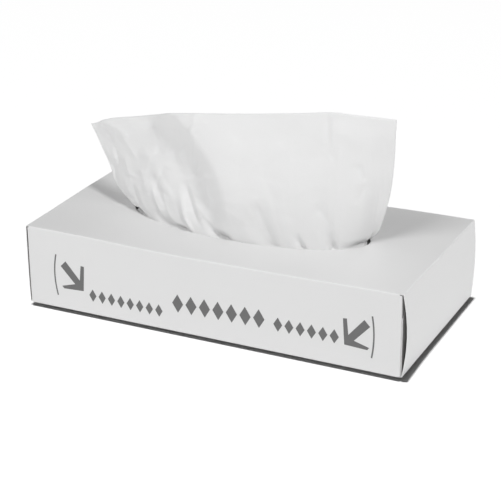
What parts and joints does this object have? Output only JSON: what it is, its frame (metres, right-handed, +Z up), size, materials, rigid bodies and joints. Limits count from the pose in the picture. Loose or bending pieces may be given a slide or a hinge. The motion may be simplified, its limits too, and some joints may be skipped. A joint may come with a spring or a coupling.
{
  "type": "tissue box",
  "caption": "Flat paperboard box of interleaved facial tissues, its oval top opening torn out and one tissue standing up out of it in a gathered fan.",
  "frame": {"origin": "bottom centre of the carton, on the surface that it stands on", "axes": "+X along the carton to its right end, -Y out of its long front face, +Z up"},
  "size_m": [0.2378, 0.115, 0.1267],
  "materials": {
    "coated_board": "white coated folding boxboard, satin",
    "tissue": "soft white two-ply tissue, matt"
  },
  "bodies": {
    "root": {"carton": "coated_board", "tissue_stack": "tissue", "next_tissue": "tissue", "popup_tissue": "tissue"}
  },
  "joints": []
}
